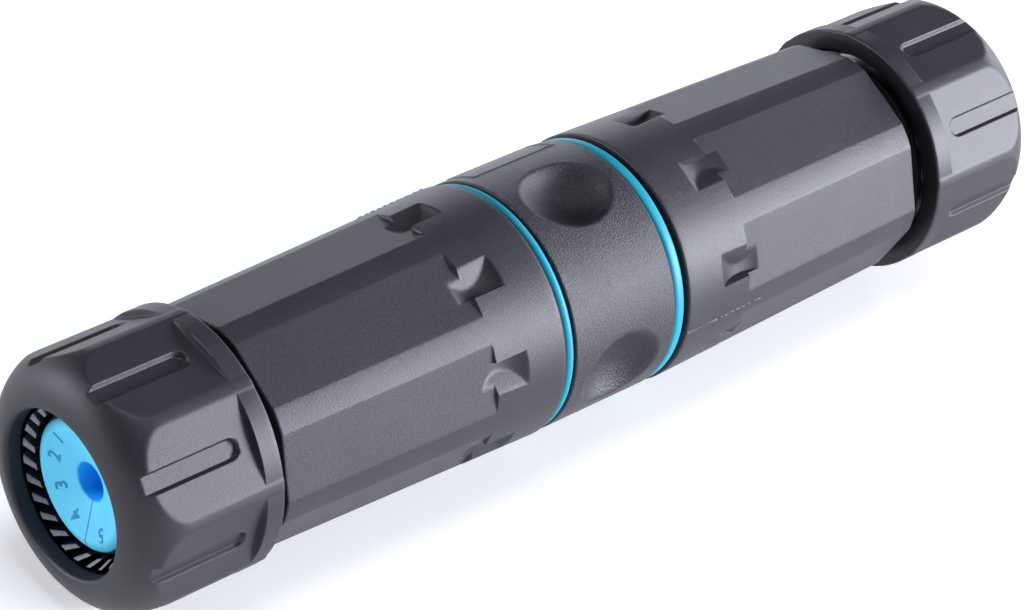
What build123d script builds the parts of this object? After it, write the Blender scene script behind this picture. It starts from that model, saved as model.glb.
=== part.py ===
# Waterproof in-line coupler for two network cables, in millimetres.
# The axis runs along X. The part lies on its two clamping nuts, with the floor at Z = 0
# and the origin under the middle of its length. Angles about the axis are counted
# from straight up (+Z) towards the front (-Y), in degrees.

from build123d import *
from math import cos, hypot, radians, tan
import os

os.makedirs("parts", exist_ok=True)

# Clearances
face_gap = 0.05          # between flat faces of pieces that touch
thread_clearance = 0.1   # radial, between the two halves of a thread, drawn as plain cylinders
slip_clearance = 0.1     # radial, between a piece that slides or turns and its seat

# Jack insert: two socket housings back to back. It sets the bore, and the walls follow outwards.
insert_width = 14.8
insert_height = 12.1
insert_edge_chamfer = 0.5
insert_play = 0.5        # from the insert's corners to the bore
socket_width = 11.9
socket_height = 6.9
socket_floor = -4.2
socket_depth = 13.4
latch_width = 6.4
latch_height = 1.5
latch_neck_width = 3.6
latch_neck_height = 0.9
window_width = 9.3
window_top = 0.1
retainer_length = 1.7
retainer_wall = 1.2
retainer_setback = 0.425
retainer_slot_width = 2.2
retainer_slot_depth = 0.5

# Contact wires and their carrier
contact_count = 8
contact_pitch = 1.02
contact_size = 0.42
contact_level = -0.9
contact_tip_level = -3.5
contact_tip_setback = 2.9
contact_bend_run = 2.1
contact_bend_radius = 0.8
carrier_play = 0.3
carrier_groove_depth = 0.35
carrier_groove_play = 0.06
carrier_seat = 0.02
comb_setback = 1.2
comb_length = 2.0
comb_height = 1.3
comb_rib_width = 0.36

# Collar of the centre shell
collar_length = 13.35
collar_edge_chamfer = 0.25
dimple_count = 4
dimple_sphere_radius = 6.3
dimple_depth = 2.4
dimple_rim_fillet = 0.7
dimple_turn = 13.0
pad_turn = -32.0
pad_length = 11.2
pad_width = 4.7
pad_height = 0.2

# Spigots of the centre shell, one to each side
spigot_length = 12.0
spigot_wall = 1.35
ring_shoulder_step = 0.25
ring_shoulder_length = 1.5

# Sealing rings between collar and barrels
ring_recess = 0.1        # how far a ring stays below the collar's surface
ring_shoulder_play = 0.05
ring_free_width = 2.0

# Barrels
barrel_length = 34.65
barrel_rim_wall = 2.4
barrel_rim_step = 0.1    # how far the rim stands proud of the collar
barrel_taper = 0.9       # how much the radius falls from the rim to the outer end
barrel_edge_chamfer = 0.25
barrel_thread_run = 1.0  # how far the thread goes on past the spigot's length
barrel_hollow_step = 0.6
barrel_end_wall = 3.65
flat_count = 8
flat_half_angle = 16.4
flat_start = 8.85
pocket_middle = 8.1
pocket_arc_radius = 5.6
pocket_depth = 1.2
pocket_steep_side = 1.8
pocket_slant_side = 1.85
pocket_slant_reach = 0.45

# Threaded neck at a barrel's outer end
neck_length = 11.5
neck_step = 1.7
neck_wall = 1.8
neck_relief_depth = 0.3
neck_relief_length = 1.6
neck_seat_depth = 5.5
neck_seat_step = 0.9

# Clamping nuts
nut_flat_drop = 0.77     # from the nut's ring down to its flats
nut_corner_radius = 1.6
nut_ring_length = 2.3
nut_ring_step = 0.12     # how far the ring stands proud of the collar
nut_ring_chamfer = 0.2
nut_dome_radius = 6.0
nut_dome_inset = 4.3
nut_mouth_step = 0.35
nut_mouth_lip = 0.5
nut_mouth_length = 1.7
nut_thread_relief = 0.9
nut_cone_play = 0.23
nut_cone_rise = 0.85
nut_cone_length = 2.2
nut_seat_length = 0.5
groove_width = 2.3
groove_depth = 0.5
groove_wall_slant = 28.0
groove_start = 3.7

# Claw rings that the nuts press on to the cable seals
claw_length = 6.0
claw_base_length = 1.6
claw_wall = 1.6
claw_taper = 0.38
claw_front_step = 0.1    # how far the claw's front is past the end of the nut's cone
finger_count = 26
finger_lean = -62.0      # from the radius, with the inner ends at the higher angles
finger_slot_width = 0.4

# Cable seals
seal_play = 0.55
seal_edge_fillet = 0.7
seal_flange_length = 2.0
seal_tail_play = 0.2
seal_tail_length = 1.6
seal_reach = 3.3         # how far the seal stands out of the neck
seal_bore_radius = 1.95
seal_dish_depth = 1.4
seal_land = 0.15

# How far each thread is screwed in at rest: gaps left between the faces
left_ring_gap = 1.65
right_ring_gap = 2.25
left_nut_gap = 1.3
right_nut_gap = 2.4

# Angular places that the pieces happen to be screwed to
left_barrel_turn = -124.5
right_barrel_turn = 51.0
left_nut_turn = 57.0
right_nut_turn = 56.0

# Radii, worked out from the insert outwards
insert_corner = hypot(insert_width / 2, insert_height / 2 - insert_edge_chamfer)
shell_bore_radius = insert_corner + insert_play
retainer_radius = shell_bore_radius - face_gap
spigot_thread_radius = shell_bore_radius + spigot_wall
ring_shoulder_radius = spigot_thread_radius + ring_shoulder_step
barrel_thread_radius = spigot_thread_radius + thread_clearance
barrel_rim_radius = barrel_thread_radius + barrel_rim_wall
barrel_end_radius = barrel_rim_radius - barrel_taper
barrel_hollow_radius = barrel_thread_radius - barrel_hollow_step
collar_radius = barrel_rim_radius - barrel_rim_step
ring_inner_radius = ring_shoulder_radius + ring_shoulder_play
ring_outer_radius = collar_radius - ring_recess
neck_thread_radius = barrel_end_radius - neck_step
neck_relief_radius = neck_thread_radius - neck_relief_depth
neck_bore_radius = neck_thread_radius - neck_wall
neck_throat_radius = neck_bore_radius - neck_seat_step
nut_ring_radius = collar_radius + nut_ring_step
nut_flat_distance = nut_ring_radius - nut_flat_drop
nut_thread_radius = neck_thread_radius + thread_clearance
nut_dome_centre_radius = nut_flat_distance - nut_dome_inset
claw_base_radius = neck_bore_radius - slip_clearance
claw_tip_radius = claw_base_radius - claw_taper
claw_inner_radius = claw_base_radius - claw_wall
nut_cone_end_radius = claw_tip_radius + nut_cone_play
nut_cone_start_radius = nut_cone_end_radius + nut_cone_rise
nut_mouth_radius = nut_cone_end_radius - nut_mouth_step
seal_radius = claw_inner_radius - seal_play
seal_dish_radius = seal_radius - seal_edge_fillet - seal_land
seal_flange_radius = neck_bore_radius - slip_clearance
seal_tail_radius = neck_throat_radius - seal_tail_play

# Places along the axis, worked out from the collar's middle
flat_pitch = 360.0 / flat_count
barrel_slope = (barrel_end_radius - barrel_rim_radius) / barrel_length
barrel_thread_length = spigot_length + barrel_thread_run
barrel_hollow_length = barrel_length - barrel_end_wall
nut_thread_length = neck_length - nut_thread_relief
nut_cone_start = nut_thread_length + nut_thread_radius - nut_cone_start_radius
nut_cone_end = nut_cone_start + nut_cone_length
nut_mouth_start = nut_cone_end + nut_seat_length
nut_length = nut_mouth_start + nut_mouth_length
seal_front = neck_length + seal_reach
collar_half = collar_length / 2
spigot_end = collar_half + spigot_length
insert_half = spigot_end - retainer_setback - retainer_length - face_gap
socket_back = insert_half - socket_depth
contact_tip = insert_half - contact_tip_setback
contact_bend = socket_back + contact_bend_run
carrier_length = 2 * (socket_back - carrier_play)
carrier_width = window_width - 2 * slip_clearance
side_length = barrel_length + nut_length
left_reach = collar_half + left_ring_gap + left_nut_gap + side_length
right_reach = collar_half + right_ring_gap + right_nut_gap + side_length
collar_centre_x = (left_reach - right_reach) / 2
axis_height = nut_ring_radius
far_out = 3.0            # how far a cutter reaches past the surface that it cuts


def revolved(points):
    """Solid of revolution about X from an outline of (x, radius) points."""
    return revolve(make_face(Polyline(*points, close=True)), Axis.X)


def slab(points, half_width):
    """Prism on an outline of (x, z) points, as wide each way along Y."""
    return extrude(Plane.XZ * make_face(Polyline(*points, close=True)), half_width, both=True)


def on_side(piece, side, x, turn=0.0):
    """Place a piece drawn with its outer end towards +X on the left or right side."""
    if side == "right":
        return Pos(x, 0, 0) * Rot(turn, 0, 0) * piece
    return Rot(0, 0, 180) * Pos(x, 0, 0) * Rot(-turn, 0, 0) * piece


def in_frame(piece):
    """Move from the axis and the collar's middle to the part's own origin."""
    return Pos(collar_centre_x, 0, axis_height) * piece


def barrel_radius(x):
    return barrel_rim_radius + barrel_slope * x


def make_centre_shell():
    chamfer = collar_edge_chamfer
    shoulder_end = collar_half + ring_shoulder_length
    half = [
        (collar_half - chamfer, collar_radius), (collar_half, collar_radius - chamfer),
        (collar_half, ring_shoulder_radius), (shoulder_end, ring_shoulder_radius),
        (shoulder_end, spigot_thread_radius), (spigot_end - 2 * chamfer, spigot_thread_radius),
        (spigot_end, spigot_thread_radius - 2 * chamfer), (spigot_end, shell_bore_radius),
    ]
    shell = revolved(half + [(-x, radius) for x, radius in reversed(half)])
    dimple_height = collar_radius - dimple_depth + dimple_sphere_radius
    for k in range(dimple_count):
        turn = Rot(dimple_turn + k * 360.0 / dimple_count, 0, 0)
        shell -= turn * Pos(0, 0, dimple_height) * Sphere(dimple_sphere_radius)
    shell = fillet(shell.edges().filter_by(GeomType.BSPLINE), dimple_rim_fillet)
    pad_radius = collar_radius + pad_height
    band = Rot(0, 90, 0) * Cylinder(pad_radius, pad_length)
    block = Pos(0, 0, pad_radius) * Box(pad_length, pad_width, pad_radius)
    core = Rot(0, 90, 0) * Cylinder(collar_radius - far_out / 2, pad_length)
    return shell + Rot(pad_turn, 0, 0) * ((band & block) - core)


def make_sealing_ring(gap):
    """Ring of round section, squeezed to the gap where the barrel is screwed tight."""
    width = min(ring_free_width, gap - 2 * face_gap)
    height = ring_outer_radius - ring_inner_radius
    middle = (ring_outer_radius + ring_inner_radius) / 2
    section = Pos(face_gap + width / 2, middle) * Ellipse(width / 2, height / 2)
    return revolve(section, Axis.X)


def make_pocket_cutter():
    """Arc-shaped scoop with one steep side and one slanted side, pointing up."""
    surface = barrel_radius(pocket_middle)
    floor = surface - pocket_depth
    top = surface + far_out
    below = floor - pocket_depth / 2
    slant = (pocket_slant_side + pocket_slant_reach) / pocket_depth
    outline = [
        (-pocket_steep_side, below), (-pocket_steep_side, top),
        (pocket_slant_side + slant * far_out, top),
        (-pocket_slant_reach - slant * (floor - below), below),
    ]
    wedge = Plane.YZ * make_face(Polyline(*outline, close=True))
    wedge = Pos(pocket_middle, 0, 0) * extrude(wedge, 2 * pocket_arc_radius, both=True)
    roller = Rot(90, 0, 0) * Cylinder(pocket_arc_radius, 2 * barrel_rim_radius)
    return wedge & (Pos(pocket_middle, 0, floor + pocket_arc_radius) * roller)


def make_barrel():
    chamfer = barrel_edge_chamfer
    neck_end = barrel_length + neck_length
    outline = [
        (0, barrel_thread_radius + chamfer), (0, barrel_rim_radius - chamfer), (chamfer, barrel_rim_radius),
        (barrel_length - chamfer, barrel_end_radius), (barrel_length, barrel_end_radius - chamfer),
        (barrel_length, neck_relief_radius), (barrel_length + neck_relief_length, neck_relief_radius),
        (barrel_length + neck_relief_length, neck_thread_radius),
        (neck_end - 2 * chamfer, neck_thread_radius), (neck_end, neck_thread_radius - 2 * chamfer),
        (neck_end, neck_bore_radius), (neck_end - neck_seat_depth, neck_bore_radius),
        (neck_end - neck_seat_depth, neck_throat_radius), (barrel_length - chamfer, neck_throat_radius),
        (barrel_hollow_length, barrel_hollow_radius), (barrel_thread_length, barrel_hollow_radius),
        (barrel_thread_length - barrel_hollow_step, barrel_thread_radius), (chamfer, barrel_thread_radius),
    ]
    barrel = revolved(outline)
    flat_end = barrel_length + far_out
    flat_share = cos(radians(flat_half_angle))
    start_level = flat_share * barrel_radius(flat_start)
    end_level = flat_share * barrel_radius(flat_end)
    flat_cut = slab([
        (flat_start, start_level), (flat_end, end_level),
        (flat_end, barrel_rim_radius + far_out), (flat_start, barrel_rim_radius + far_out),
    ], barrel_rim_radius / 2)
    keep_neck = Rot(0, 90, 0) * Cylinder(neck_thread_radius + neck_relief_depth, 4 * barrel_length)
    flat_cut -= keep_neck
    steep_high = make_pocket_cutter()
    steep_low = mirror(steep_high, Plane.XZ)
    cuts = []
    for k in range(flat_count):
        turn = (k + 0.5) * flat_pitch
        pocket = steep_high if turn < 180 else steep_low
        cuts += [Rot(turn, 0, 0) * flat_cut, Rot(turn, 0, 0) * pocket]
    return barrel.cut(*cuts)


def octagon(flat_distance, corner_radius):
    sketch = Plane.YZ * RegularPolygon(flat_distance, flat_count, major_radius=False, rotation=flat_pitch / 2)
    return fillet(sketch.vertices(), corner_radius)


def make_groove_cutter():
    """Long slot with slanting walls and one round end, sunk into an upward flat."""
    reach = nut_length - groove_start + far_out
    bottom = nut_flat_distance - groove_depth
    top_offset = (groove_depth + far_out) * tan(radians(groove_wall_slant))
    floor_width = groove_width - 2 * groove_depth * tan(radians(groove_wall_slant))
    start = groove_start + (groove_width - floor_width) / 2
    floor = Pos(start + reach / 2, 0, bottom) * SlotOverall(reach, floor_width)
    wide_slot = SlotOverall(reach + 2 * top_offset, floor_width + 2 * top_offset)
    top = Pos(start + reach / 2, 0, bottom + groove_depth + far_out) * wide_slot
    return loft([floor, top])


def make_nut():
    ring_chamfer = nut_ring_chamfer
    body = extrude(octagon(nut_flat_distance, nut_corner_radius), nut_length)
    lip_height = nut_mouth_radius + nut_mouth_lip - nut_dome_centre_radius
    dome_x = nut_length - (nut_dome_radius ** 2 - lip_height ** 2) ** 0.5
    corner = nut_flat_distance / cos(radians(flat_pitch / 2)) + far_out
    envelope = revolved([(0, 0), (0, corner), (dome_x, corner), (dome_x, 0)])
    arc = CenterArc((dome_x, nut_dome_centre_radius), nut_dome_radius, 0, 90)
    dome_face = make_face([
        arc, Line(arc @ 0, (dome_x + nut_dome_radius, 0)),
        Line((dome_x + nut_dome_radius, 0), (dome_x, 0)), Line((dome_x, 0), arc @ 1),
    ])
    body &= envelope + revolve(dome_face, Axis.X)
    ring = revolved([
        (0, 0), (0, nut_ring_radius - ring_chamfer), (ring_chamfer, nut_ring_radius),
        (nut_ring_length - ring_chamfer, nut_ring_radius), (nut_ring_length, nut_ring_radius - ring_chamfer),
        (nut_ring_length, 0),
    ])
    body += ring
    groove = make_groove_cutter()
    for k in range(flat_count):
        body -= Rot(k * flat_pitch, 0, 0) * groove
    lip = nut_mouth_lip
    lip_arc = CenterArc((nut_length - lip, nut_mouth_radius + lip), lip, -90, 90)
    inside = make_face([
        lip_arc,
        Polyline(
            lip_arc @ 1, (nut_length + 1, nut_mouth_radius + lip), (nut_length + 1, 0), (-1, 0),
            (-1, nut_thread_radius + lip), (0, nut_thread_radius + lip), (lip, nut_thread_radius),
            (nut_thread_length, nut_thread_radius), (nut_cone_start, nut_cone_start_radius),
            (nut_cone_end, nut_cone_end_radius), (nut_mouth_start, nut_cone_end_radius),
            (nut_mouth_start, nut_mouth_radius), lip_arc @ 0,
        ),
    ])
    return body - revolve(inside, Axis.X)


def make_claw():
    """Ring with leaning fingers towards +X, its front face at X = 0."""
    claw = revolved([
        (-claw_length, claw_inner_radius), (-claw_length, claw_base_radius),
        (-claw_length / 2, claw_base_radius), (0, claw_tip_radius), (0, claw_inner_radius),
    ])
    middle = (claw_tip_radius + claw_inner_radius) / 2
    finger_length = claw_length - claw_base_length
    slot = Box(finger_length + far_out, 2 * far_out, finger_slot_width)
    slot = Pos((far_out - finger_length) / 2, 0, middle) * Rot(finger_lean + 90, 0, 0) * slot
    slots = [Rot(k * 360.0 / finger_count, 0, 0) * slot for k in range(finger_count)]
    return claw.cut(*slots)


def make_seal():
    """Rubber bush with a dished front, its front edge at X = 0."""
    flange_front = -(seal_front - (neck_length - neck_seat_depth)) + seal_flange_length + face_gap
    flange_back = flange_front - seal_flange_length
    tail = flange_back - seal_tail_length
    round_start = seal_radius - seal_edge_fillet
    edge_arc = CenterArc((-seal_edge_fillet, round_start), seal_edge_fillet, 0, 90)
    outline = make_face([
        edge_arc,
        Polyline(
            edge_arc @ 1, (flange_front, seal_radius), (flange_front, seal_flange_radius),
            (flange_back, seal_flange_radius), (flange_back, seal_tail_radius), (tail, seal_tail_radius),
            (tail, seal_bore_radius), (-seal_dish_depth, seal_bore_radius), (0, seal_dish_radius),
            edge_arc @ 0,
        ),
    ])
    return revolve(outline, Axis.X)


def make_jack_shell():
    """Housing of one socket, with its mouth towards +X and its back near X = 0."""
    block = Pos((insert_half + face_gap) / 2, 0, 0) * Box(insert_half - face_gap, insert_width, insert_height)
    block = chamfer(block.edges().filter_by(Axis.X), insert_edge_chamfer)
    depth = socket_depth + 1
    middle = insert_half + 1 - depth / 2
    socket_top = socket_floor + socket_height
    socket = Pos(middle, 0, socket_floor + socket_height / 2) * Box(depth, socket_width, socket_height)
    latch = Pos(middle, 0, socket_top + latch_height / 2) * Box(depth, latch_width, latch_height)
    neck_level = socket_top + latch_height + latch_neck_height / 2
    latch_neck = Pos(middle, 0, neck_level) * Box(depth, latch_neck_width, latch_neck_height)
    window_height = window_top - socket_floor
    window = Pos(0, 0, socket_floor + window_height / 2) * Box(3 * socket_back, window_width, window_height)
    shell = block - socket - latch - latch_neck - window
    comb_middle = insert_half - comb_setback - comb_length / 2
    rib = Box(comb_length, comb_rib_width, comb_height)
    for k in range(contact_count - 1):
        rib_y = (k + 1 - contact_count / 2) * contact_pitch
        shell += Pos(comb_middle, rib_y, socket_floor + comb_height / 2) * rib
    return shell


def make_contact(y):
    """Bent wire that runs from one socket's mouth over the carrier to the other's."""
    points = [
        (-contact_tip, y, contact_tip_level), (-contact_bend, y, contact_level),
        (contact_bend, y, contact_level), (contact_tip, y, contact_tip_level),
    ]
    path = FilletPolyline(*points, radius=contact_bend_radius)
    section = Plane(origin=path @ 0, z_dir=path % 0) * Rectangle(contact_size, contact_size)
    return sweep(section, path)


def make_carrier():
    top = contact_level - contact_size / 2 - carrier_seat + carrier_groove_depth
    height = top - socket_floor - face_gap
    carrier = Pos(0, 0, top - height / 2) * Box(carrier_length, carrier_width, height)
    groove = Box(carrier_length + 1, contact_size + 2 * carrier_groove_play, 2 * carrier_groove_depth)
    for k in range(contact_count):
        y = (k - (contact_count - 1) / 2) * contact_pitch
        carrier -= Pos(0, y, top) * groove
    return carrier


def make_retainer():
    """Ring that keeps the insert in the bore, with two spanner slots, its back at X = 0."""
    ring = revolved([
        (0, retainer_radius - retainer_wall), (0, retainer_radius),
        (retainer_length, retainer_radius), (retainer_length, retainer_radius - retainer_wall),
    ])
    slot = Box(2 * retainer_slot_depth, 3 * shell_bore_radius, retainer_slot_width)
    return ring - Pos(retainer_length, 0, 0) * slot


def build():
    nodes = {"centre_shell": make_centre_shell(), "contact_carrier": make_carrier()}
    for k in range(contact_count):
        y = (k - (contact_count - 1) / 2) * contact_pitch
        nodes[f"contact_{k + 1}"] = make_contact(y)
    barrel = make_barrel()
    nut = make_nut()
    claw = make_claw()
    seal = make_seal()
    jack = make_jack_shell()
    retainer = make_retainer()
    sides = {
        "left": (left_ring_gap, left_nut_gap, left_barrel_turn, left_nut_turn),
        "right": (right_ring_gap, right_nut_gap, right_barrel_turn, right_nut_turn),
    }
    for side, (ring_gap, nut_gap, barrel_turn, nut_turn) in sides.items():
        barrel_x = collar_half + ring_gap
        barrel_end = barrel_x + barrel_length
        nut_x = barrel_end + nut_gap
        claw_x = nut_x + nut_cone_end + claw_front_step
        retainer_x = insert_half + face_gap
        nodes[f"{side}_jack_shell"] = on_side(jack, "right", 0) if side == "right" else mirror(jack, Plane.YZ)
        nodes[f"{side}_retainer"] = on_side(retainer, side, retainer_x)
        nodes[f"{side}_sealing_ring"] = on_side(make_sealing_ring(ring_gap), side, collar_half)
        nodes[f"{side}_barrel"] = on_side(barrel, side, barrel_x, barrel_turn)
        nodes[f"{side}_cable_seal"] = on_side(seal, side, barrel_end + seal_front)
        nodes[f"{side}_claw"] = on_side(claw, side, claw_x)
        nodes[f"{side}_nut"] = on_side(nut, side, nut_x, nut_turn)
    return {name: in_frame(piece) for name, piece in nodes.items()}


for name, piece in build().items():
    export_step(piece, f"parts/{name}.step")
    print(name, round(piece.volume, 1))
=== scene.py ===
import bpy
import numpy as np
from mathutils import Matrix, Vector


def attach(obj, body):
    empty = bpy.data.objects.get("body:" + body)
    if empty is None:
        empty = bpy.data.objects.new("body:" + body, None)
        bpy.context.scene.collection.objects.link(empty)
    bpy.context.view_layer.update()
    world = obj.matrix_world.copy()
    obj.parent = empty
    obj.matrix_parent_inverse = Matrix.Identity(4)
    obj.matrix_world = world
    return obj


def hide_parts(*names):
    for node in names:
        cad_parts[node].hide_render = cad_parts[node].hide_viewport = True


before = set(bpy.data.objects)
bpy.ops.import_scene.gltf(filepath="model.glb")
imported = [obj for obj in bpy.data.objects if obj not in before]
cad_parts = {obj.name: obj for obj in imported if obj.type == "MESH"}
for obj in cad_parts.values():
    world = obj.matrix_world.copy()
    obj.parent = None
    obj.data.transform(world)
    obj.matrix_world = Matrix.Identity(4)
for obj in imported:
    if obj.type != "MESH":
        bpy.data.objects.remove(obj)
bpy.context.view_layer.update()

# Sizes in millimetres, along and about the common axis. The lengths of the main pieces and the gaps between
# them are within 0.3 mm of those of the solids. Turns are in degrees.
millimetre = 0.001
axis_height = 13.62
centre_x = -0.8
collar_half = 6.8
collar_radius = 13.5
barrel_rim_radius = 13.6
barrel_taper = 0.9
barrel_length = 34.75
neck_length = 11.5
neck_seat = 6.0
nut_length = 16.3
nut_mouth_radius = 9.1
claw_inset = 1.75
seal_front = 15.2
thread_lead = 2.0
sides = {
    "left": {"ring_gap": 1.45, "nut_gap": 1.2, "barrel_turn": -125.3, "nut_turn": 56.8, "barrel_flash": 279.0},
    "right": {"ring_gap": 1.95, "nut_gap": 2.3, "barrel_turn": 51.3, "nut_turn": 57.2, "barrel_flash": 46.5},
}
flat_count = 8
sector = 45.0

# Spacing of the mesh along a thread and across a flat
thread_step = 0.125
flat_columns = np.arange(-22.5, 22.5, 1.25)

# Length of one degree of arc on the collar and on a barrel
collar_degree = 0.2356
barrel_degree = 0.235


# Geometry helpers

def smooth_min(a, b, k):
    h = np.clip(0.5 + 0.5 * (b - a) / k, 0, 1)
    return b * (1 - h) + a * h - k * h * (1 - h)


def smooth_max(a, b, k):
    return -smooth_min(-a, -b, k)


def smooth_step(lo, hi, v):
    t = np.clip((v - lo) / (hi - lo), 0, 1)
    return t * t * (3 - 2 * t)


def runs(*spans):
    """Numbers from (start, stop, step) spans, joined end to end."""
    rounding = 1e-9
    parts = [np.arange(a, b - rounding, s) for a, b, s in spans]
    return np.concatenate(parts + [[spans[-1][1]]])


def wrap(angle, turn=360.0):
    """Angle difference folded to plus or minus half a turn."""
    return (angle + turn / 2) % turn - turn / 2


def columns(offsets, count):
    """Angles of the offsets repeated about the axis, sorted, in degrees."""
    all_angles = np.concatenate([(np.asarray(offsets) + k * 360.0 / count) % 360.0 for k in range(count)])
    return np.unique(np.round(all_angles, 4))


def flat_angles(fine):
    """Even columns across each flat, with finer ones where its edges, pockets and grooves lie."""
    return np.concatenate([flat_columns, fine, [-v for v in fine]])


def placed(points, side, x, turn=0.0):
    """Points of a piece drawn with its outer end towards +X, put on its side of the part."""
    points = points.copy()
    angle = np.radians(turn if side != "left" else -turn)
    y, z = points[:, 1].copy(), points[:, 2].copy()
    points[:, 1] = y * np.cos(angle) - z * np.sin(angle)
    points[:, 2] = y * np.sin(angle) + z * np.cos(angle)
    points[:, 0] += x
    if side == "left":
        points[:, :2] *= -1
    points[:, 0] += centre_x
    points[:, 2] += axis_height
    return points * millimetre


def make_object(name, points, faces, sharp_angle=38.0):
    mesh = bpy.data.meshes.new(name)
    mesh.vertices.add(len(points))
    mesh.vertices.foreach_set("co", points.astype(np.float32).ravel())
    faces = [np.asarray(f) for f in faces]
    sizes = np.concatenate([np.full(len(f), f.shape[1]) for f in faces])
    loops = np.concatenate([f.ravel() for f in faces])
    starts = np.concatenate([[0], np.cumsum(sizes)[:-1]])
    mesh.loops.add(len(loops))
    mesh.loops.foreach_set("vertex_index", loops.astype(np.int32))
    mesh.polygons.add(len(sizes))
    mesh.polygons.foreach_set("loop_start", starts.astype(np.int32))
    mesh.polygons.foreach_set("loop_total", sizes.astype(np.int32))
    mesh.update(calc_edges=True)
    mesh.validate()
    mesh.polygons.foreach_set("use_smooth", np.ones(len(mesh.polygons), bool))
    mesh.set_sharp_from_angle(angle=np.radians(sharp_angle))
    piece = bpy.data.objects.new(name, mesh)
    bpy.context.scene.collection.objects.link(piece)
    return piece


def quads_between(this, this_next, after, after_next):
    """Four-cornered faces between each row of points and the one after it."""
    return np.stack(np.broadcast_arrays(this, this_next, after_next, after), -1).reshape(-1, 4)


def grid_faces(rows, cols):
    i = np.arange(rows)[:, None]
    j = np.arange(cols)[None, :]
    i2, j2 = (i + 1) % rows, (j + 1) % cols
    return quads_between(i * cols + j, i * cols + j2, i2 * cols + j, i2 * cols + j2)


def grid_points(x, r, angles):
    """Points of a closed loop of rows about the axis: x and r are (rows, columns) or (rows, 1)."""
    t = np.radians(angles)[None, :]
    x, r, t = np.broadcast_arrays(x, r, t)
    return np.stack([x, -r * np.sin(t), r * np.cos(t)], -1).reshape(-1, 3)


def as_rows(values):
    """Numbers as (rows, columns), where a plain list is one column."""
    values = np.atleast_1d(np.asarray(values, float))
    return values[:, None] if values.ndim == 1 else values


def lathe(name, x, r, angles, side, at_x, turn=0.0):
    x, r = as_rows(x), as_rows(r)
    points = grid_points(x, r, angles)
    return make_object(name, placed(points, side, at_x, turn), [grid_faces(x.shape[0], len(angles))])


def rounded_edge(size):
    """Along and drop of a quarter-round edge, from the face to the side."""
    a = np.linspace(0, np.pi / 2, 5)
    return size * (1 - np.cos(a)), size * (1 - np.sin(a))


def between_edges(start, stop, edge, middle_x):
    """Rows of a body with a quarter-round edge at both ends: x, and the drop below the side."""
    along, drop = rounded_edge(edge)
    x = np.concatenate([start + along[:-1], middle_x, (stop - along)[::-1][1:]])
    return x, np.concatenate([drop[:-1], np.zeros(len(middle_x)), drop[::-1][1:]])


def stacked(*groups):
    """Rows of (x, r) groups joined to two (rows, columns) arrays."""
    groups = [(as_rows(x), as_rows(r)) for x, r in groups]
    count = max(v.shape[1] for group in groups for v in group)
    xs, rs = [], []
    for x, r in groups:
        rows = max(x.shape[0], r.shape[0])
        xs.append(np.broadcast_to(x, (rows, count)))
        rs.append(np.broadcast_to(r, (rows, count)))
    return np.concatenate(xs), np.concatenate(rs)


def helix_depth(x, angle, start, stop, depth):
    """How deep a right-handed thread is cut at x and angle, faded out at both ends."""
    # Shares of the lead where the groove's two sides start and end
    down, floor, up = 0.34, 0.5, 0.84
    fade_in, fade_out = 0.8, 0.5
    phase = ((x - start) / thread_lead - angle / 360.0) % 1.0
    profile = smooth_step(down, floor, phase) * (1 - smooth_step(up, 1.0, phase))
    fade = smooth_step(start, start + fade_in, x) * (1 - smooth_step(stop - fade_out, stop, x))
    return depth * profile * fade


# Materials

def material(name):
    """New material with its node tree, its shader and the coordinates of the object."""
    mat = bpy.data.materials.new(name)
    mat.use_nodes = True
    tree = mat.node_tree
    place = tree.nodes.new("ShaderNodeTexCoord").outputs["Object"]
    return mat, tree, tree.nodes["Principled BSDF"], place


def add(tree, kind, **inputs):
    node = tree.nodes.new(kind)
    for key, value in inputs.items():
        node.inputs[key.replace("_", " ")].default_value = value
    return node


def noise(tree, coordinates, scale, detail, roughness=0.5):
    node = add(tree, "ShaderNodeTexNoise", Scale=scale, Detail=detail, Roughness=roughness)
    tree.links.new(coordinates, node.inputs["Vector"])
    return node.outputs["Fac"]


def ramp(tree, value, stops):
    node = tree.nodes.new("ShaderNodeValToRGB")
    elements = node.color_ramp.elements
    while len(elements) < len(stops):
        elements.new(0.5)
    for element, (position, colour) in zip(elements, stops):
        element.position = position
        element.color = (*colour, 1)
    tree.links.new(value, node.inputs["Fac"])
    return node.outputs["Color"]


def bump(tree, height, strength, distance, normal=None):
    node = add(tree, "ShaderNodeBump", Strength=strength, Distance=distance)
    tree.links.new(height, node.inputs["Height"])
    if normal is not None:
        tree.links.new(normal, node.inputs["Normal"])
    return node.outputs["Normal"]


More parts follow.
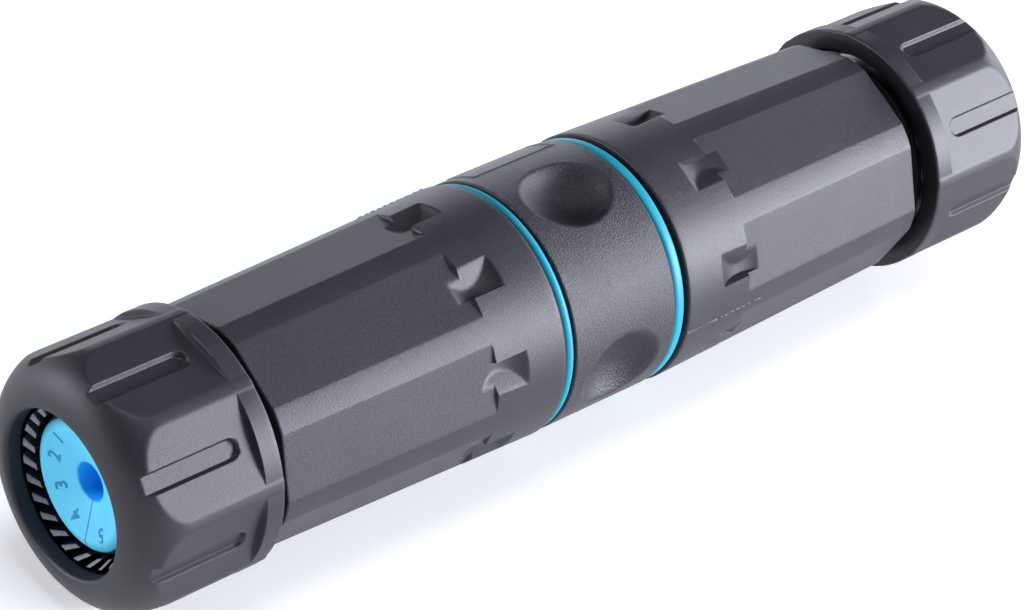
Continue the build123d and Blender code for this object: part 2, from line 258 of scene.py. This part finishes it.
def moulded_plastic(name, dark, light, rough, grain_scale, grain_depth, grain_strength, speck=0.2):
    """Plastic with a spark-eroded grain, faint clouds and specks in its colour and slow changes of gloss."""
    mat, tree, shader, place = material(name)
    clouds = noise(tree, place, scale=160.0, detail=3.0)
    grain = noise(tree, place, scale=grain_scale, detail=3.0, roughness=0.6)
    flecks = noise(tree, place, scale=grain_scale, detail=1.0)
    waves = noise(tree, place, scale=90.0, detail=1.0)
    speckle = tree.nodes.new("ShaderNodeMix")
    speckle.data_type, speckle.blend_type = "RGBA", "MULTIPLY"
    speckle.inputs["Factor"].default_value = 1.0
    cloud_colour = ramp(tree, clouds, [(0.3, dark), (0.75, light)])
    fleck_colour = ramp(tree, flecks, [(0.38, (1 - speck,) * 3), (0.64, (1 + speck,) * 3)])
    tree.links.new(cloud_colour, speckle.inputs["A"])
    tree.links.new(fleck_colour, speckle.inputs["B"])
    tree.links.new(speckle.outputs["Result"], shader.inputs["Base Color"])
    gloss = add(tree, "ShaderNodeMapRange", To_Min=rough - 0.07, To_Max=rough + 0.09)
    tree.links.new(grain, gloss.inputs["Value"])
    tree.links.new(gloss.outputs["Result"], shader.inputs["Roughness"])
    normal = bump(tree, grain, grain_strength, grain_depth)
    normal = bump(tree, waves, strength=0.12, distance=0.0004, normal=normal)
    tree.links.new(normal, shader.inputs["Normal"])
    shader.inputs["Specular IOR Level"].default_value = 0.4
    return mat


def rubber(name, deep, pale, rough=0.5):
    """Rubber with faint clouds in its colour and a fine, shallow grain."""
    mat, tree, shader, place = material(name)
    clouds = noise(tree, place, scale=220.0, detail=2.0)
    grain = noise(tree, place, scale=2600.0, detail=2.0)
    tree.links.new(ramp(tree, clouds, [(0.35, deep), (0.7, pale)]), shader.inputs["Base Color"])
    tree.links.new(bump(tree, grain, strength=0.25, distance=0.00003), shader.inputs["Normal"])
    shader.inputs["Roughness"].default_value = rough
    shader.inputs["Specular IOR Level"].default_value = 0.4
    return mat


def gold():
    mat, tree, shader, place = material("contact_gold")
    fine = noise(tree, place, scale=3000.0, detail=2.0)
    colour = ramp(tree, fine, [(0.3, (0.83, 0.55, 0.2)), (0.7, (0.9, 0.64, 0.28))])
    tree.links.new(colour, shader.inputs["Base Color"])
    shader.inputs["Metallic"].default_value = 1.0
    shader.inputs["Roughness"].default_value = 0.25
    return mat


barrel_plastic = moulded_plastic(
    "barrel_plastic", dark=(0.0155, 0.014, 0.0195), light=(0.0205, 0.0187, 0.0255), rough=0.44,
    grain_scale=7000, grain_depth=0.00004, grain_strength=1.0, speck=0.3)
nut_plastic = moulded_plastic(
    "nut_plastic", dark=(0.0135, 0.0122, 0.017), light=(0.018, 0.0163, 0.0225), rough=0.47,
    grain_scale=7500, grain_depth=0.00002, grain_strength=1.0, speck=0.25)
collar_plastic = moulded_plastic(
    "collar_plastic", dark=(0.0155, 0.014, 0.0195), light=(0.022, 0.02, 0.0275), rough=0.4,
    grain_scale=6500, grain_depth=0.00008, grain_strength=1.0, speck=0.8)
# Dark, glossy plastic: the neck's own finish, and painted shade inside the nuts' mouths and on the claws.
glossy_plastic_and_painted_shade = moulded_plastic(
    "glossy_plastic_and_painted_shade", dark=(0.01, 0.0095, 0.012), light=(0.014, 0.0135, 0.017), rough=0.3,
    grain_scale=5200, grain_depth=0.00001, grain_strength=0.3)
claw_plastic = moulded_plastic(
    "claw_plastic", dark=(0.24, 0.235, 0.26), light=(0.28, 0.275, 0.3), rough=0.45,
    grain_scale=5200, grain_depth=0.00002, grain_strength=0.3)
socket_plastic = moulded_plastic(
    "socket_plastic", dark=(0.02, 0.02, 0.022), light=(0.03, 0.03, 0.032), rough=0.4,
    grain_scale=5200, grain_depth=0.00002, grain_strength=0.4)
ring_rubber = rubber("ring_rubber", deep=(0.0, 0.21, 0.29), pale=(0.004, 0.24, 0.34))
seal_rubber = rubber("seal_rubber", deep=(0.08, 0.5, 0.7), pale=(0.1, 0.54, 0.76))
seal_mark = rubber("seal_mark", deep=(0.0, 0.2, 0.42), pale=(0.01, 0.23, 0.47))
# Painted shade: a deeper blue for the wall of the seal's hole and a dark blue for the seal's side up to the
# middle of its rounded edge.
seal_hole_painted_shade = rubber("seal_hole_painted_shade", deep=(0.0, 0.36, 0.85), pale=(0.01, 0.4, 0.9))
seal_side_painted_shade = rubber("seal_side_painted_shade", deep=(0.0, 0.06, 0.16), pale=(0.0, 0.08, 0.2), rough=0.6)
contact_gold = gold()


def dress(piece, mat):
    piece.data.materials.clear()
    piece.data.materials.append(mat)


def dress_rows(piece, mat, first_row, last_row, faces_in_row):
    """Second material for the faces between two rows of a piece."""
    if mat.name not in piece.data.materials:
        piece.data.materials.append(mat)
    index = np.zeros(len(piece.data.polygons), np.int32)
    piece.data.polygons.foreach_get("material_index", index)
    index[first_row * faces_in_row:last_row * faces_in_row] = piece.data.materials.find(mat.name)
    piece.data.polygons.foreach_set("material_index", index)


def finish_piece(piece, mat, body, slot_name, *nodes):
    dress(piece, mat)
    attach(piece, body)
    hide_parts(*nodes)


# Centre shell

def collar_hollows(x, angles):
    """Radius of the four spheres that hollow the collar, steeply rising outside them."""
    sphere, depth, first_turn, rise = 6.3, 2.4, 11.8, 40
    height = collar_radius - depth + sphere
    off = np.radians(wrap(angles - first_turn, 90.0))
    inside = (height * np.cos(off)) ** 2 - (height ** 2 + x ** 2 - sphere ** 2)
    return height * np.cos(off) - np.sqrt(np.maximum(inside, 0)) + rise * np.maximum(-inside, 0)


def collar_frame(x, angles):
    """Height of the thin raised frame of the bare pad."""
    turn, half_width, half_length, height = -32.0, 2.35, 5.6, 0.09
    line_top, line_fall, line_foot = 0.1, 0.28, 0.4
    across = np.abs(wrap(angles - turn)) * np.pi / 180 * collar_radius
    from_edge = np.minimum(half_width - across, half_length - np.abs(x))
    return height * (smooth_step(0, line_top, from_edge) * (1 - smooth_step(line_fall, line_foot, from_edge)))


def collar_surface(x, angles):
    """Radius of the collar at x and angle: round hollows, the pad's frame, the mould's seam and its gate."""
    rim_blend = 0.55
    seam_turn, seam_height, seam_width, seam_start, seam_full = 57.2, 0.035, 0.07, -0.5, 0.6
    gate_x, gate_height, gate_top, gate_foot = -1.0, 0.05, 0.2, 0.55
    r = np.full(np.broadcast_shapes(x.shape, angles.shape), collar_radius)
    r = smooth_min(r, collar_hollows(x, angles), rim_blend)
    r = r + collar_frame(x, angles)
    from_seam = wrap(angles - seam_turn) * collar_degree
    seam = np.exp(-(from_seam / seam_width) ** 2) * smooth_step(seam_start, seam_full, x)
    r = r + seam_height * seam
    from_gate = np.hypot(x - gate_x, from_seam)
    return r + gate_height * (1 - smooth_step(gate_top, gate_foot, from_gate))


def make_centre_shell():
    edge, row_step, column_step = 0.18, 0.13, 0.75
    shoulder, shoulder_end = 11.35, collar_half + 1.5
    thread, thread_depth, bore, end = 11.1, 0.72, 9.75, collar_half + 12.0
    helix_span = (collar_half + 1.3, end - 0.2)
    angles = columns(np.arange(0, 90, column_step), 4)
    t = angles[None, :]
    outer_x, outer_drop = between_edges(
        -collar_half, collar_half, edge, runs((-collar_half + edge, collar_half - edge, row_step)))
    outer_r = collar_surface(outer_x[:, None], t) - outer_drop[:, None]
    thread_x = runs((shoulder_end, end - 0.5, thread_step))
    thread_r = thread - helix_depth(thread_x[:, None], t, *helix_span, thread_depth)
    lead_in_x = end - np.array([0.35, 0.1, 0.0])
    lead_in_r = thread - np.array([0.2, 0.42, 0.6])
    # The far half of the loop is the same outline mirrored, with its thread run on from the near half.
    back_r = thread - helix_depth(thread_x[:, None], -t, *helix_span, thread_depth)
    x, r = stacked(
        (outer_x, outer_r),
        ([collar_half, shoulder_end], [shoulder, shoulder]),
        (thread_x, thread_r), (lead_in_x, lead_in_r), ([end, -end], [bore, bore]),
        (-lead_in_x[::-1], lead_in_r[::-1]), (-thread_x[::-1], back_r[::-1]),
        ([-shoulder_end, -collar_half], [shoulder, shoulder]),
    )
    piece = lathe("centre_shell_look", x, r, angles, "right", 0.0)
    finish_piece(piece, collar_plastic, "centre", "body_plastic", "centre_shell")


# Barrels

def barrel_radius(x):
    return barrel_rim_radius - barrel_taper / barrel_length * x


def barrel_surface(x, angles):
    """Radius of a barrel: slow taper, eight flats with a step at their start, eight scooped pockets."""
    flat_half, step_start, step_end, flat_blend = 16.4, 8.82, 8.98, 0.03
    arc_radius, depth, middle, far_out = 4.9, 1.2, 8.2, 30.0
    slant_foot, slant_top, slant_blend = -0.45, 1.85, 0.06
    steep_foot, steep_slope, steep_blend, rim_blend = -1.76, 14.0, 0.05, 0.07
    base = barrel_radius(x)
    flat_index = np.floor(angles / sector)
    off = np.radians((angles % sector) - sector / 2)
    flat = np.cos(np.radians(flat_half)) * base / np.cos(off)
    flat_here = smooth_step(step_start, step_end, x)
    r = base - (base - smooth_min(base, flat, flat_blend)) * flat_here
    floor = barrel_radius(middle) - depth
    # y grows away from the steep side, which is at the high angle for the first four flats
    hand = np.where(flat_index < flat_count / 2, -1.0, 1.0)
    y = hand * base * np.sin(off)
    arc = floor + arc_radius - np.sqrt(np.maximum(arc_radius ** 2 - (x - middle) ** 2, 0))
    arc = np.where(np.abs(x - middle) < arc_radius, arc, far_out)
    slant = floor + depth * (y - slant_foot) / (slant_top - slant_foot)
    steep = floor + steep_slope * (steep_foot - y)
    scoop = smooth_max(smooth_max(arc, slant, slant_blend), steep, steep_blend)
    return smooth_min(r, scoop / np.cos(off), rim_blend)


def barrel_flash(x, angles, at):
    """Slightly ragged line where the mould halves met, at one angle of the barrel."""
    width, height, ripple, fall, foot = 0.1, 0.08, 0.05, 11.5, 12.5
    wander = 0.05 * np.sin(5.1 * x) + 0.04 * np.sin(11.3 * x + 1.0)
    off = (wrap(angles - at) * barrel_degree + wander) / width
    return (height + ripple * np.sin(7.7 * x)) * np.exp(-off ** 2) * (1 - smooth_step(fall, foot, x))


def make_barrel(side, place, at_x):
    edge, hollow, end_hole, spigot_bore = 0.2, 10.6, 8.6, 11.2
    fine = [7.35, 7.5, 7.6, 7.7, 7.8, 7.95, 16.2, 16.4, 16.6]
    angles = columns(flat_angles(fine) + sector / 2, flat_count)
    flash_angles = place["barrel_flash"] + np.linspace(-1.5, 1.5, 15)
    angles = np.unique(np.round(np.concatenate([angles, flash_angles % 360]), 4))
    t = angles[None, :]
    # Fine rows at the pockets, and finer ones at the step where the flats start
    middle_x = runs((edge, 4.3, 0.45), (4.3, 8.6, 0.13), (8.6, 9.1, 0.04), (9.1, 11.3, 0.13),
                    (11.3, barrel_length - edge, 0.7))
    outer_x, outer_drop = between_edges(0.0, barrel_length, edge, middle_x)
    outer_r = barrel_surface(outer_x[:, None], t) - outer_drop[:, None]
    outer_r = outer_r + barrel_flash(outer_x[:, None], t, place["barrel_flash"])
    # Outside, end wall, cone and hollow, step to the spigot's bore, and the bore's lead-in
    x, r = stacked(
        (outer_x, outer_r), ([barrel_length] * 2, [hollow, end_hole]),
        ([barrel_length - 0.5, 31.0], [end_hole, hollow]), ([13.0, 12.4], [hollow, spigot_bore]),
        ([0.3, 0.08, 0.0], [spigot_bore, 11.3, 11.5]),
    )
    piece = lathe(f"{side}_barrel_look", x, r, angles, side, at_x, place["barrel_turn"])
    finish_piece(piece, barrel_plastic, f"{side}_barrel_body", "body_plastic", f"{side}_barrel")


def make_neck(side, place, at_x):
    """Threaded neck of a barrel, a separate look piece because it has a finer, glossier finish."""
    major, thread_depth, root, mouth, seat_radius, hole = 11.0, 0.68, 10.7, 9.4, 9.2, 8.3
    foot, start, stop = barrel_length - 0.3, barrel_length + 1.6, barrel_length + 11.1
    seat, end = barrel_length + neck_seat, barrel_length + neck_length
    angles = np.arange(0, 360, 2.25)
    thread_x = runs((start, stop, thread_step))
    thread_r = major - helix_depth(thread_x[:, None], angles[None, :], start - 0.3, stop + 0.3, thread_depth)
    x, r = stacked(
        ([foot, start - 0.15], [root, root]), (thread_x, thread_r),
        ([end - 0.2, end], [major - 0.3, major - 0.65]), ([end, end - 0.2], [mouth, seat_radius]),
        ([seat, seat], [seat_radius, hole]), ([foot], [hole]),
    )
    piece = lathe(f"{side}_neck_look", x, r, angles, side, at_x, place["barrel_turn"])
    finish_piece(piece, glossy_plastic_and_painted_shade, f"{side}_barrel_body", "body_plastic", f"{side}_barrel")


# Clamping nuts

def nut_surface(x, angles, dome):
    """Radius of a nut: octagon with rounded corners, ring, grooves and the domed nose."""
    apothem, corner, ring, ring_end, step_end, dome_blend = 12.85, 1.6, 13.62, 2.12, 2.28, 0.1
    groove_half, groove_start, groove_depth, groove_side = 1.15, 4.85, 0.5, 0.27
    half = np.radians(sector / 2)
    off_deg = wrap(angles, sector)
    off = np.radians(off_deg)
    y = apothem * np.tan(off)
    in_groove = groove_half - np.where(x > groove_start, np.abs(y), np.hypot(x - groove_start, y))
    depth = groove_depth * smooth_step(0.0, groove_side, in_groove)
    flat = (apothem - depth) / np.cos(off)
    reach = (apothem - corner) / np.cos(half)
    to_corner = half - np.abs(off)
    arc = reach * np.cos(to_corner) + np.sqrt(np.maximum(corner ** 2 - (reach * np.sin(to_corner)) ** 2, 0))
    tangent = np.degrees(np.arctan((apothem - corner) * np.tan(half) / apothem))
    body = np.where(np.abs(off_deg) < tangent, flat, arc)
    ring_here = 1 - smooth_step(ring_end, step_end, x)
    r = np.where(body > ring, body, body + (ring - body) * ring_here)
    return smooth_min(r, dome, dome_blend)


def make_nut(side, place, at_x):
    edge, lip, lip_foot, lip_inner = 0.22, 0.5, 14.6, 8.6
    claw_bore, thread_bore = 8.95, 11.1
    dome_centre, dome_rise, dome_length = 8.8, 4.9, 5.3
    fine = [3.6, 3.95, 4.3, 4.6, 4.9, 5.15, 5.4, 18.1, 19.4, 20.6, 21.9]
    angles = columns(flat_angles(fine), flat_count)
    # The nose is a quarter of an ellipse, cut off at the mouth.
    tip = np.arccos((nut_mouth_radius - dome_centre) / dome_rise)
    dome_x = nut_length - dome_length * np.sin(tip)
    tilt = np.linspace(0, tip, 42)
    along, drop = rounded_edge(edge)
    body_x = runs((edge, 2.0, 0.35), (2.0, 2.4, 0.035), (2.4, 3.6, 0.25), (3.6, 5.2, 0.1), (5.2, dome_x, 0.6))
    outer_x = np.concatenate([along[:-1], body_x[:-1], dome_x + dome_length * np.sin(tilt)])
    outer_drop = np.concatenate([drop[:-1], np.zeros(len(body_x) - 1 + len(tilt))])
    past = np.clip((outer_x - dome_x) / dome_length, 0, 1)
    dome = dome_centre + dome_rise * np.sqrt(1 - past ** 2)
    outer_r = nut_surface(outer_x[:, None], angles[None, :], dome[:, None]) - outer_drop[:, None]
    lip_turn = np.linspace(0, np.pi / 2, 7)[1:]
    # Outside, rounded lip, the claw's bore with its cone, the thread's bore and its lead-in
    x, r = stacked(
        (outer_x, outer_r),
        (nut_length - lip + lip * np.cos(lip_turn), nut_mouth_radius - lip * np.sin(lip_turn)),
        ([lip_foot, lip_foot], [lip_inner, claw_bore]),
        ([14.1, 11.9, 10.6, 0.5, 0.0], [claw_bore, 9.8, thread_bore, thread_bore, 11.6]),
    )
    piece = lathe(f"{side}_nut_look", x, r, angles, side, at_x, place["nut_turn"])
    finish_piece(piece, nut_plastic, f"{side}_nut_body", "body_plastic", f"{side}_nut")
    # Everything behind the lip gets the darker, glossier plastic as painted shade inside the nut's mouth.
    dress_rows(piece, glossy_plastic_and_painted_shade, len(outer_x) + len(lip_turn), len(x), len(angles))


# Claw rings

def make_claw(side, at_x):
    """Base ring and leaning fingers, each a bent plate with a bevelled end."""
    length, base, inner, outer, tip, bevel = 6.0, 1.6, 7.5, 9.1, 8.25, 0.8
    count, first_finger, lean, end_ease = 26, 2.7, np.radians(-56.0), 0.08
    finger_half = 0.2 / np.cos(lean)
    middle = (inner + outer) / 2
    base_end = -length + base
    start = base_end - 0.3
    angles = np.arange(0, 360, 4.0)
    ring_x = [-length, -length, -length + 0.2, base_end, base_end + 0.1, base_end]
    ring_r = [inner + 0.1, outer - 0.15, outer, outer, outer - 0.1, inner + 0.1]
    points = [grid_points(as_rows(ring_x), as_rows(ring_r), angles)]
    faces = [grid_faces(len(ring_x), len(angles))]
    first = len(points[0])

    shares = np.concatenate([np.linspace(0, 0.97, 9), [1.0]])
    rows, corners = len(shares), 4
    i = corners * np.arange(rows - 1)[:, None]
    j = np.arange(corners)[None, :]
    j2 = (j + 1) % corners
    last = (rows - 1) * corners
    caps = np.array([[last, last + 1, last + 2, last + 3], [3, 2, 1, 0]])
    finger_faces = np.concatenate([quads_between(i + j, i + j2, i + corners + j, i + corners + j2), caps])
    for k in range(count):
        loops = []
        for share in shares:
            ease = end_ease if share == 1.0 else 0.0
            low = inner + ease
            high = np.interp(start * (1 - share), [-length / 2, 0], [outer, tip]) - ease
            for r, end, hand in ((low, -bevel, -1), (high, 0, -1), (high, 0, 1), (low, -bevel, 1)):
                across = (r - middle) * np.tan(lean) + hand * (finger_half - ease)
                angle = np.radians(first_finger + k * 360.0 / count) + across / middle
                x = start + share * (end - start)
                loops.append([x, -r * np.sin(angle), r * np.cos(angle)])
        points.append(np.array(loops))
        faces.append(finger_faces + first)
        first += rows * corners
    piece = make_object(f"{side}_claw_look", placed(np.concatenate(points), side, at_x), faces, 30.0)
    # The whole claw first gets the dark plastic as painted shade.
    finish_piece(piece, glossy_plastic_and_painted_shade, f"{side}_claw_body", "claw_plastic", f"{side}_claw")
    # The last row of a finger's sides and its end keep the claw's own pale grey; the rest of the claw is dark
    # as painted shade inside the nut's mouth.
    for k in range(count):
        pale = len(faces[0]) + k * len(finger_faces) + corners * (rows - 2)
        dress_rows(piece, claw_plastic, pale, pale + corners + 1, 1)


# Cable seals

# Digit, its angle, and its distance from the axis
seal_digits = (("1", 47, 5.0), ("2", 80, 4.5), ("3", 122, 4.1), ("4", 167, 4.3), ("5", 221, 5.0))


def make_seal_digit(side, at_x, digit, angle, reach, depth, slope):
    """Plain number that lies on the seal's bowl, its foot towards the hole."""
    words = bpy.data.curves.new(f"{side}_seal_digit_{digit}", "FONT")
    words.body = digit
    words.size = 2.0
    words.offset = 0.03
    words.align_x, words.align_y = "CENTER", "CENTER"
    words.extrude = 0.04
    draft = bpy.data.objects.new("draft", words)
    mesh = bpy.data.meshes.new_from_object(draft)
    flat = np.zeros(len(mesh.vertices) * 3, np.float32)
    mesh.vertices.foreach_get("co", flat)
    flat = flat.reshape(-1, 3)
    turn = np.radians(angle)
    outward = np.array([0, -np.sin(turn), np.cos(turn)])
    across = np.array([0, np.cos(turn), np.sin(turn)])
    tilt = np.arctan(slope)
    up = np.array([1, 0, 0]) * np.sin(tilt) + outward * np.cos(tilt)
    normal = np.array([1, 0, 0]) * np.cos(tilt) - outward * np.sin(tilt)
    origin = np.array([depth, 0, 0]) + outward * reach
    points = origin + flat[:, :1] * across + flat[:, 1:2] * up + flat[:, 2:] * normal
    mesh.vertices.foreach_set("co", placed(points, side, at_x).astype(np.float32).ravel())
    mesh.update()
    piece = bpy.data.objects.new(f"{side}_seal_digit_{digit}", mesh)
    bpy.context.scene.collection.objects.link(piece)
    bpy.data.objects.remove(draft)
    finish_piece(piece, seal_mark, f"{side}_seal_body", "seal_rubber", f"{side}_cable_seal")


def make_seal(side, at_x):
    """Rubber bush with a bowl-shaped face round the cable hole, slit so that it opens over a cable."""
    hole, hole_edge, dish, radius, bend = 1.95, 0.12, 1.4, 7.2, 1.5
    slit_angle, slit_depth, slit_floor, slit_edge, slit_back = 192.0, 0.12, 0.03, 0.09, -2.5
    flange_radius, body_radius, tail_radius = 9.1, 8.9, 8.1
    flange = -seal_front + neck_seat + 2.05
    flange_back, tail = flange - 2.0, flange - 3.6
    bowl_width = radius - bend - hole

    def bowl_depth(distance):
        return -dish + dish * (distance - hole) / bowl_width

    angles = columns(np.concatenate([np.arange(0, 360, 2.0), slit_angle + np.linspace(-3, 3, 25)]), 1)
    edge = np.linspace(0, np.pi / 2, 9)
    bowl_r = np.linspace(hole + hole_edge, radius - bend - 0.05, 14)
    # Hole, bowl, rounded edge, side, flange and tail
    x, r = stacked(
        ([-dish - hole_edge], [hole]), (bowl_depth(bowl_r), bowl_r),
        (-bend + bend * np.cos(edge), radius - bend + bend * np.sin(edge)),
        ([flange + 0.1, flange, flange], [radius, radius, body_radius]),
        ([flange - 0.2, flange_back], [flange_radius, flange_radius]),
        ([flange_back, tail], [tail_radius, tail_radius]), ([tail], [hole]),
    )
    x = np.repeat(x, len(angles), axis=1)
    from_slit = np.abs(wrap(angles - slit_angle))[None, :] * np.pi / 180 * r
    on_face = (x > slit_back) & (r < radius - 0.1)
    x = x - slit_depth * on_face * (1 - smooth_step(slit_floor, slit_edge, from_slit))
    piece = lathe(f"{side}_seal_look", x[::-1], r[::-1], angles, side, at_x)
    finish_piece(piece, seal_rubber, f"{side}_seal_body", "seal_rubber", f"{side}_cable_seal")
    # The wall of the hole has a deeper blue as painted shade inside the hole, and the side up to the middle of
    # its rounded edge is dark blue as painted shade.
    hole_row, side_foot_row, edge_middle_row = len(x) - 2, 7, 12
    dress_rows(piece, seal_hole_painted_shade, hole_row, len(x), len(angles))
    dress_rows(piece, seal_side_painted_shade, side_foot_row, edge_middle_row, len(angles))
    for digit, angle, reach in seal_digits:
        make_seal_digit(side, at_x, digit, angle, reach, bowl_depth(reach), dish / bowl_width)


# Sealing rings

def make_ring(side, place):
    """Ring with a rounded rectangle as its section, which fills most of the gap beside the collar."""
    inner, outer, bend, play = 11.4, 13.4, 0.6, 0.05
    width = 0.8 * place["ring_gap"]
    a = np.linspace(0, np.pi / 2, 8)
    along, up = bend * (1 - np.cos(a)), bend * (1 - np.sin(a))
    x = play + np.concatenate([along, width - along[::-1], width - along, along[::-1]])
    r = np.concatenate([outer - up, (outer - up)[::-1], inner + up, (inner + up)[::-1]])
    piece = lathe(f"{side}_sealing_ring_look", x, r, np.arange(0, 360, 1.5), side, collar_half)
    finish_piece(piece, ring_rubber, "centre", "ring_rubber", f"{side}_sealing_ring")


make_centre_shell()
for side, place in sides.items():
    barrel_x = collar_half + place["ring_gap"]
    barrel_end = barrel_x + barrel_length
    nut_x = barrel_end + place["nut_gap"]
    make_ring(side, place)
    make_barrel(side, place, barrel_x)
    make_neck(side, place, barrel_x)
    make_nut(side, place, nut_x)
    make_claw(side, nut_x + nut_length - claw_inset)
    make_seal(side, barrel_end + seal_front)

for name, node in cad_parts.items():
    if name.startswith("contact_") and name != "contact_carrier":
        dress(node, contact_gold)
    elif "retainer" in name:
        dress(node, glossy_plastic_and_painted_shade)
    elif "jack" in name or name == "contact_carrier":
        dress(node, socket_plastic)


# Floor, camera and light

daylight = (0.88, 0.9, 1.0)
light_target = (0, 0, 0.0136)
# Place and size in metres, power in watts
lights = {
    "key": ((0.85, -0.72, 0.28), (0.5, 0.36), 22.0),
    "low_front": ((0.5, -0.75, 0.12), (0.4, 0.2), 9.0),
    "right": ((1.15, 0.0, 0.3), (0.5, 0.4), 6.5),
    "rear_right": ((0.7, 0.9, 0.15), (0.6, 0.3), 1.4),
    "rear_left": ((-0.8, 0.8, 0.4), (0.6, 0.5), 11.0),
    "over": ((0.0, 0.0, 1.2), (0.6, 0.6), 6.5),
}


def make_floor():
    """White paper, which glows faintly so that it comes out as white as the photograph's background."""
    mat, tree, shader, place = material("floor_paper")
    shade = noise(tree, place, scale=2.0, detail=2.0)
    colour = ramp(tree, shade, [(0.3, (0.9, 0.9, 0.9)), (0.7, (0.93, 0.93, 0.93))])
    tree.links.new(colour, shader.inputs["Base Color"])
    shader.inputs["Roughness"].default_value = 0.9
    shader.inputs["Specular IOR Level"].default_value = 0.1
    shader.inputs["Emission Color"].default_value = (1.0, 1.0, 1.0, 1.0)
    shader.inputs["Emission Strength"].default_value = 0.3
    half = 6.0
    corners = np.array([(-half, -half, 0), (half, -half, 0), (half, half, 0), (-half, half, 0)], float)
    floor = make_object("floor", corners, [[(0, 1, 2, 3)]])
    dress(floor, mat)


def make_camera():
    """Camera at the photograph's place, worked out from its outlines."""
    lens = bpy.data.cameras.new("camera")
    lens.lens = 138.87
    lens.sensor_width = 36.0
    lens.clip_start = 0.01
    camera = bpy.data.objects.new("camera", lens)
    bpy.context.scene.collection.objects.link(camera)
    right = Vector((0.744881, -0.661862, 0.084172))
    up = Vector((0.329199, 0.474326, 0.816475))
    back = Vector((-0.580327, -0.580474, 0.571203))
    location = Vector((-238.958, -234.945, 243.683)) * millimetre
    turn = Matrix((right, up, back)).transposed().to_4x4()
    camera.matrix_world = Matrix.Translation(location) @ turn
    bpy.context.scene.camera = camera


def make_world():
    """Bright band low on the horizon, dark sky above it."""
    world = bpy.context.scene.world or bpy.data.worlds.new("world")
    bpy.context.scene.world = world
    world.use_nodes = True
    tree = world.node_tree
    dark_sky = (0.0, 0.0, 0.0)
    direction = tree.nodes.new("ShaderNodeTexCoord").outputs["Generated"]
    split = tree.nodes.new("ShaderNodeSeparateXYZ")
    tree.links.new(direction, split.inputs["Vector"])
    sky = ramp(tree, split.outputs["Z"], [(0.0, daylight), (0.12, daylight), (0.25, dark_sky), (0.9, dark_sky)])
    background = tree.nodes["Background"]
    tree.links.new(sky, background.inputs["Color"])
    background.inputs["Strength"].default_value = 2.0


def area_light(name, place, size, power):
    lamp = bpy.data.lights.new(name, "AREA")
    lamp.shape = "RECTANGLE"
    lamp.size, lamp.size_y = size
    lamp.energy = power
    lamp.color = daylight
    holder = bpy.data.objects.new(name, lamp)
    bpy.context.scene.collection.objects.link(holder)
    holder.location = place
    direction = Vector(light_target) - Vector(place)
    holder.rotation_euler = direction.to_track_quat("-Z", "Y").to_euler()


make_floor()
make_camera()
make_world()
for name, (place, size, power) in lights.items():
    area_light(name, place, size, power)
bpy.context.scene.view_settings.view_transform = "Standard"
